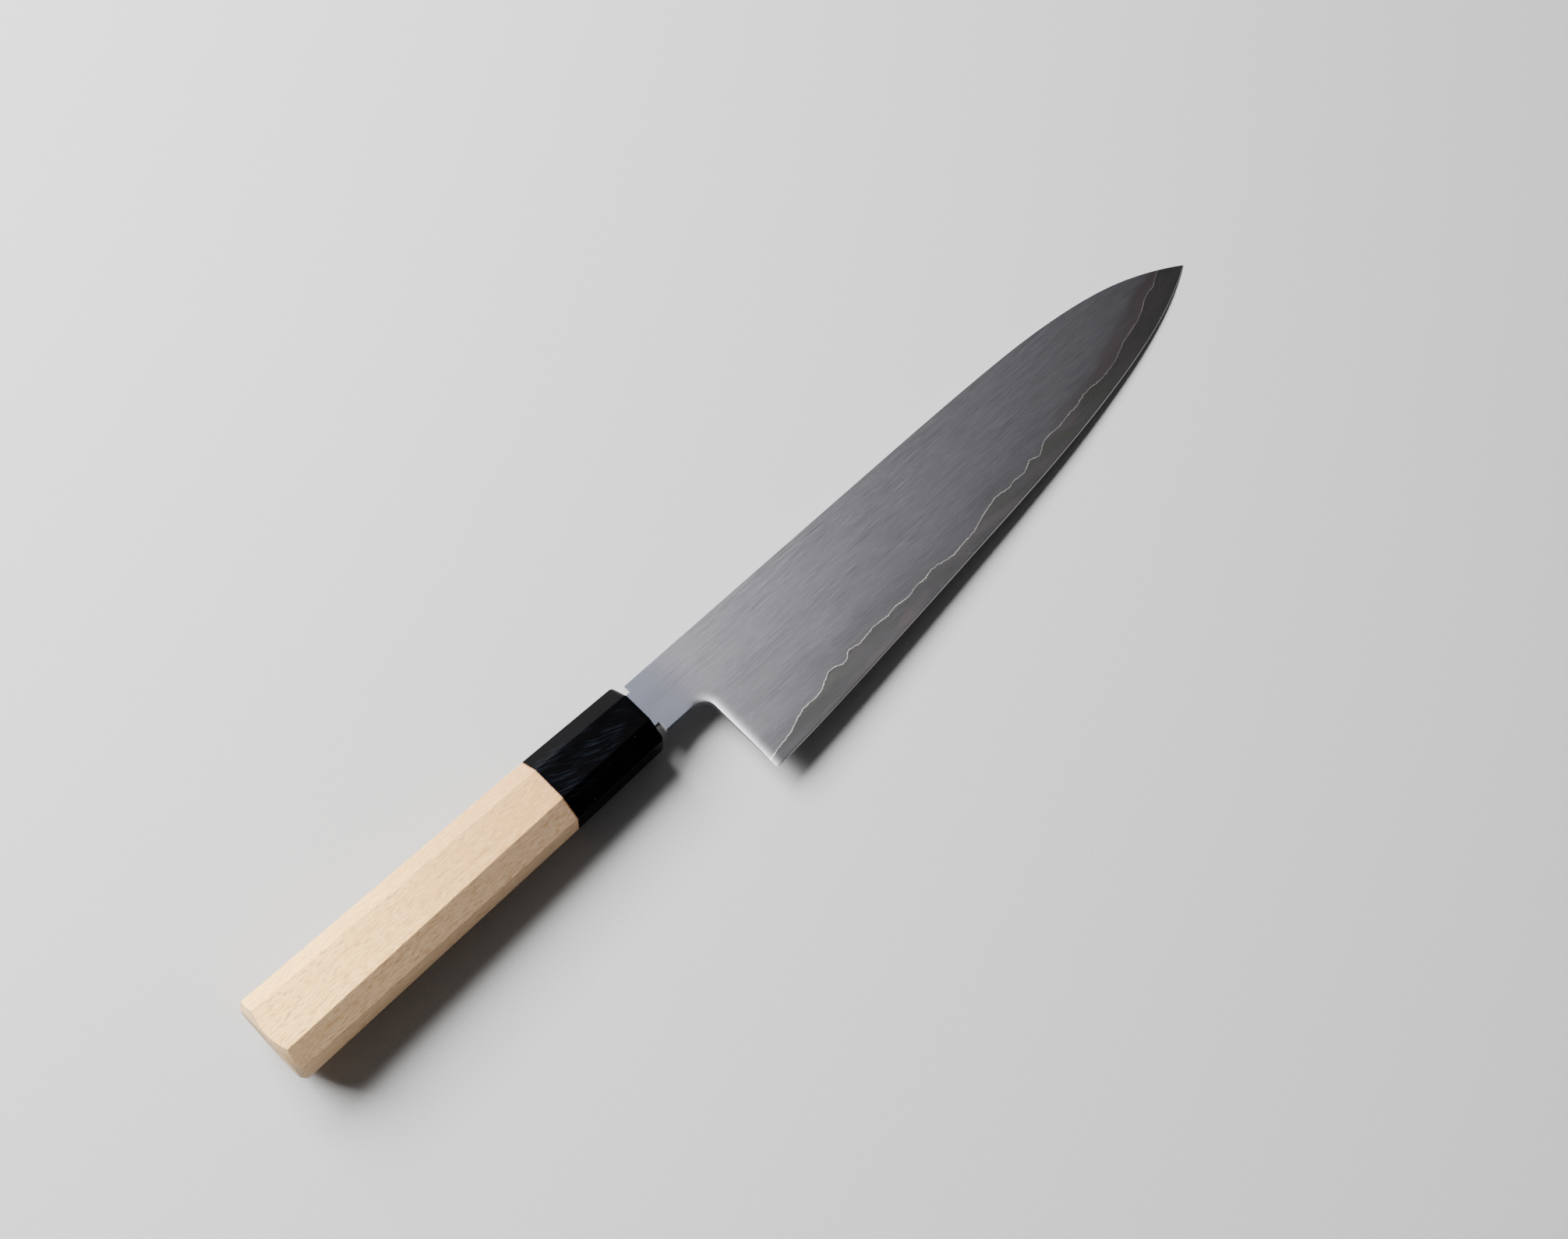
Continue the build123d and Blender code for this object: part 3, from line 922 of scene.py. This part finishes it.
def seam_shaded(n, place, along, seam, tone):
    """Painted shade over the seam, for the darker reflection off the curved face; warm towards the tip."""
    drift = n.noise(n.stretched(place, (0.03, 0.12, 0.12)), detail=2.0)
    above = n.span(seam, -0.4, 0.2)
    reach = n.plus(seam, n.span(drift, 0.3, 0.7, 1.5, -1.5))
    tone = n.mix(n.span(seam, 0.0, 34.0, 0.5, 0.0, smoothly=False), tone, SEAM_SHADE_WIDE)
    close = n.times(n.times(n.span(reach, 1.0, 8.0, 1.0, 0.0), above), 0.40)
    tone = n.mix(close, tone, SEAM_SHADE_CLOSE)
    warm = n.times(n.times(n.span(reach, 2.5, 5.0, 1.0, 0.0), above), n.span(along, 140, 190, 0, 0.8))
    return n.mix(warm, tone, SEAM_SHADE_WARM)


def patched_core(n, place, along, seam, tone):
    """The core below the seam: pink and olive patches, grey at the heel and darker towards the tip."""
    cloud = n.noise(n.stretched(place, (0.06, 0.25, 0.25)), detail=3.0)
    core = n.span(seam, 0.2, -0.3)
    tone = n.mix(n.times(n.times(core, n.span(cloud, 0.45, 0.62)), 0.6), tone, CORE_PINK)
    tone = n.mix(n.times(core, n.span(along, 22, 85, 0.9, 0.0)), tone, CORE_HEEL)
    olive = n.times(n.times(core, n.span(cloud, 0.50, 0.36)), n.span(along, 60, 210, 0.35, 0.8))
    tone = n.mix(olive, tone, CORE_OLIVE)
    return n.mix(n.times(core, n.span(along, 140, 205, 0.0, 0.5)), tone, CORE_TIP)


def toned_neck(n, along, tone):
    """Greyer above the heel, bluer at the neck, and with a painted highlight round the choil."""
    tone = n.mix(n.span(along, 4.0, 60.0, 0.42, 0.0), tone, HEEL_GREY)
    tone = n.mix(n.span(along, 4.0, 24.0, 0.85, 0.0), tone, NECK_BLUE)
    # A highlight is painted round the choil, fading out over 3.5 mm.
    choil_highlight = n.times(n.span(n.mark("choil_mm"), 0.1, 3.5, 0.38, 0.0), n.span(along, 12, 17))
    return n.mix(choil_highlight, tone, CHOIL_PAINTED_HIGHLIGHT)


def bonded_line(n, place, seam):
    """How far the bright line shows. It wanders about the seam, and its strength varies along it."""
    wander = n.noise(n.stretched(place, (0.9, 0.5, 0.5)), detail=3.0, roughness=0.6)
    line = n.plus(seam, n.span(wander, 0.2, 0.8, -0.42, 0.18, smoothly=False))
    strength = n.noise(n.stretched(place, (0.22, 0.1, 0.1)), detail=2.0)
    near = n.span(n.math("ABSOLUTE", line), 0.04, 0.19, 1.0, 0.0)
    return n.times(near, n.span(strength, 0.3, 0.6, 0.6, 1.0))


def scratched(n, place, tone):
    """A few faint scratches, lying at two slants to the blade."""
    for turn, move in SCRATCHES:
        moved = n.add("VectorMath", {"operation": "ADD"})
        n.plug(moved.inputs[0], place)
        moved.inputs[1].default_value = (move, move, 0)
        fine = n.noise(n.stretched(moved.outputs[0], (0.10, 5.0, 0.01), turn), detail=0.0)
        patch = n.noise(n.stretched(moved.outputs[0], (0.05, 0.05, 0.01)), detail=1.0)
        mark = n.times(n.span(fine, 0.74, 0.80), n.span(patch, 0.52, 0.62, 0.0, 0.2))
        tone = n.mix(mark, tone, SCRATCH_BRIGHT)
    return tone


def swayed(n, place, sway, amount):
    """place, moved across the knife by a slow noise, so that lines drawn along it bend."""
    bent = n.add("VectorMath", {"operation": "MULTIPLY_ADD"})
    n.plug(bent.inputs[0], sway)
    bent.inputs[1].default_value = (0, *amount)
    n.plug(bent.inputs[2], place)
    return bent.outputs[0]


def ho_wood():
    """Pale, straight-grained magnolia: fibres, brown streaks and tiny pores, all along the handle."""
    n = Nodes("ho_wood")
    place = n.mark("knife_mm", "Vector")
    grain = swayed(n, place, n.noise(n.stretched(place, (0.02, 0.05, 0.05)), detail=1.0), (3.0, 3.0))
    fibre = n.noise(n.stretched(grain, (0.05, 2.4, 2.4)), detail=6.0, roughness=0.7)
    rings = n.noise(n.stretched(grain, (0.004, 0.42, 0.42)), detail=2.0, roughness=0.5)
    tone = n.mix(n.span(fibre, 0.3, 0.7), WOOD_DARK, WOOD_LIGHT)
    tone = n.mix(n.times(n.span(rings, 0.35, 0.65), 0.4), tone, WOOD_RINGS)
    tone = browned_and_shaded(n, n.axis(place, 0), tone)
    streak = n.noise(n.stretched(grain, (0.018, 1.25, 1.25)), detail=2.0, roughness=0.5)
    tone = n.mix(n.times(n.span(streak, 0.60, 0.74), 0.6), tone, WOOD_STREAKS)
    pores = n.noise(n.stretched(grain, (0.40, 3.2, 3.2)), detail=3.0, roughness=0.6)
    tone = n.mix(n.times(n.span(pores, 0.48, 0.66), 0.85), tone, WOOD_PORES)
    flash = n.noise(n.stretched(grain, (0.35, 1.8, 1.8)), detail=3.0, roughness=0.6)
    tone = n.mix(n.times(n.span(flash, 0.48, 0.70), 0.25), tone, WOOD_FLASH)
    height = n.math("SUBTRACT", fibre, n.times(n.span(pores, 0.58, 0.72), 1.2))
    normal = n.bump(height, 0.02 * MM, 0.8)
    rough = n.span(fibre, 0.25, 0.75, 0.62, 0.50, smoothly=False)
    return n.finish(Base_Color=tone, Roughness=rough, Specular_IOR_Level=0.3, Normal=normal)


def browned_and_shaded(n, along, tone):
    """The wood's tone: browner towards the joint and on the end grain, painted shade on the edge's side
    facets.
    """
    tone = n.mix(n.span(along, BUTT_X, JOINT_X, 0.0, 0.85), tone, WOOD_FRONT)
    tone = n.mix(n.span(along, JOINT_X - 7, JOINT_X, 0.0, 0.25), tone, WOOD_JOINT)
    # Painted shade on the facets that face the edge's side.
    tone = n.mix(n.span(n.facing(1), -0.35, -0.6, 0.0, 0.75), tone, WOOD_SHADED_SIDE)
    return n.mix(n.span(n.facing(0), -0.2, -0.6, 0.0, 0.9), tone, WOOD_END_GRAIN)


def buffalo_horn():
    """Polished black horn with blue-grey streaks that cross it slantwise, mostly on its upper facet."""
    n = Nodes("buffalo_horn")
    place = n.mark("knife_mm", "Vector")
    grain = swayed(n, place, n.noise(n.stretched(place, (0.05, 0.12, 0.12)), detail=2.0), (4.0, 3.0))
    streak = n.noise(n.stretched(grain, (0.10, 2.1, 0.6), HORN_STREAK_TURN), detail=3.0, roughness=0.55)
    patch = n.noise(n.stretched(place, (0.06, 0.14, 0.14)), detail=2.0)
    blue = n.times(n.span(streak, 0.46, 0.76), n.span(patch, 0.36, 0.62))
    blue = n.times(blue, n.span(n.axis(place, 2), 6.5, 9.0, 0.12, 1.0))
    tone = n.mix(blue, HORN_BLACK, HORN_BLUE)
    tone = n.mix(n.times(n.span(streak, 0.46, 0.30), 0.25), tone, HORN_BROWN)
    specks = n.noise(n.stretched(place, (0.7, 1.6, 1.6)), detail=1.0)
    tone = n.mix(n.span(specks, 0.80, 0.84), tone, HORN_SPECKS)
    fine = n.noise(n.stretched(place, (0.10, 2.5, 2.5)), detail=3.0)
    rough = n.span(fine, 0.3, 0.7, 0.19, 0.25, smoothly=False)
    normal = n.bump(fine, 0.0008 * MM, 0.5)
    return n.finish(Base_Color=tone, Roughness=rough, Specular_IOR_Level=0.025, Normal=normal)


def filler(name, light, dark, scale, roughness):
    """Glue or resin: two mottled tones with a faintly uneven surface. scale is in repeats per millimetre."""
    n = Nodes(name)
    place = n.add("TexCoord").outputs["Object"]
    cloud = n.noise(place, scale / MM, detail=3.0, roughness=0.6)
    tone = n.mix(n.span(cloud, 0.35, 0.65), dark, light)
    rough = n.span(cloud, 0.3, 0.7, roughness - 0.08, roughness + 0.08)
    return n.finish(Base_Color=tone, Roughness=rough, Normal=n.bump(cloud, 0.02 * MM, 0.5))


def studio_paper():
    """The floor: plain pale paper with a faint tooth."""
    n = Nodes("studio_paper")
    place = n.add("TexCoord").outputs["Object"]
    tooth = n.noise(place, 1.6 / MM, detail=3.0)
    cloud = n.noise(place, 0.006 / MM, detail=2.0)
    tone = n.mix(n.span(tooth, 0.3, 0.7), PAPER_DARK, PAPER_LIGHT)
    tone = n.mix(n.times(cloud, 0.25), tone, PAPER_CLOUD)
    normal = n.bump(tooth, 0.05 * MM, 0.3)
    return n.finish(Base_Color=tone, Roughness=0.85, Specular_IOR_Level=0.2, Normal=normal)


# --- The knife -------------------------------------------------------------------------------------------

def dress(piece, material, slot, *nodes):
    """Gives a piece its material and its body, and hides the CAD nodes that it replaces. slot is not used."""
    piece.data.materials.append(material)
    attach(piece, "root")
    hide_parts(*nodes)


core_look = steel("core_steel_satin", *CORE_STEEL)
cladding_look = steel("cladding_steel_satin", *CLADDING_STEEL)
dress(core_steel(), core_look, "core_steel", "core_steel")
cladding_right = cladding("cladding_right_look", right_border, right_end, 1)
dress(cladding_right, cladding_look, "cladding_steel", "cladding_right")
cladding_left = cladding("cladding_left_look", left_border, left_end, -1)
dress(cladding_left, cladding_look, "cladding_steel", "cladding_left")
dress(handle_body(), ho_wood(), "ho_wood", "handle_body")
dress(horn_ferrule(), buffalo_horn(), "buffalo_horn", "horn_ferrule")
dress(ferrule_glue(), filler("wood_glue_brown", *GLUE, scale=0.8, roughness=0.5), "wood_glue", "ferrule_glue")
# The resin keeps its CAD shape, because nearly all of it is hidden in the slot.
resin = frame["nodes"]["tang_resin"].data.materials
resin.clear()
resin.append(filler("bedding_resin_dark", *RESIN, scale=1.1, roughness=0.35))


# --- Studio ----------------------------------------------------------------------------------------------

FLOOR_HALF_WIDTH = 4.0
AIR_TONE = (1.0, 0.98, 1.0, 1)
AIR_STRENGTH = 0.12


def camera():
    """The camera, placed in the knife's own frame."""
    azimuth, elevation, roll = (math.radians(a) for a in (CAMERA_AZIMUTH, CAMERA_ELEVATION, CAMERA_ROLL))
    back = Vector((math.sin(azimuth), -math.cos(azimuth), 0)) * math.cos(elevation)
    back.z = math.sin(elevation)
    level = (-back).cross(Vector((0, 0, 1))).normalized()
    rise = level.cross(-back)
    across = math.cos(roll) * level + math.sin(roll) * rise
    up = math.cos(roll) * rise - math.sin(roll) * level
    data = bpy.data.cameras.new("camera")
    data.lens = CAMERA_LENS
    data.sensor_width = CAMERA_SENSOR_WIDTH
    data.clip_start, data.clip_end = CAMERA_CLIPS
    made = bpy.data.objects.new("camera", data)
    turn = KNIFE.to_3x3().normalized() @ Matrix((across, up, back)).transposed()
    place = KNIFE @ (Vector(CAMERA_AIM) + back * CAMERA_DISTANCE)
    made.matrix_world = Matrix.Translation(place) @ turn.to_4x4()
    bpy.context.scene.collection.objects.link(made)
    bpy.context.scene.camera = made


def soft_box(name, place, target, size, power, colour=(1, 1, 1)):
    """A rectangular light, aimed at target: in metres, in the row frame, and in watts."""
    data = bpy.data.lights.new(name, "AREA")
    data.shape = "RECTANGLE"
    data.size, data.size_y = size
    data.energy = power
    data.color = colour
    made = bpy.data.objects.new(name, data)
    made.location = place
    made.rotation_mode = "QUATERNION"
    made.rotation_quaternion = (Vector(target) - Vector(place)).to_track_quat("-Z", "Y")
    bpy.context.scene.collection.objects.link(made)


def floor():
    half = FLOOR_HALF_WIDTH
    corners = [(-half, -half, 0), (half, -half, 0), (half, half, 0), (-half, half, 0)]
    mesh = bpy.data.meshes.new("floor")
    mesh.from_pydata(corners, [], [(0, 1, 2, 3)])
    made = bpy.data.objects.new("floor", mesh)
    made.data.materials.append(studio_paper())
    bpy.context.scene.collection.objects.link(made)


def studio_air():
    world = bpy.data.worlds.new("studio_air")
    world.use_nodes = True
    background = world.node_tree.nodes["Background"]
    background.inputs["Color"].default_value = AIR_TONE
    background.inputs["Strength"].default_value = AIR_STRENGTH
    bpy.context.scene.world = world


floor()
studio_air()
soft_box("key_light", (-0.3, 0.80, 0.80), (-0.05, 0, 0), size=(1.0, 0.7), power=86)
soft_box("overhead_card", (0.45, 0.23, 0.9), (0.1, 0, 0), size=(0.25, 0.5), power=0.16)
soft_box("side_card", (0.1, 1.4, 0.4), (0, 0, 0), size=(1.5, 0.8), power=2.0, colour=(1.0, 0.9, 1.0))
camera()
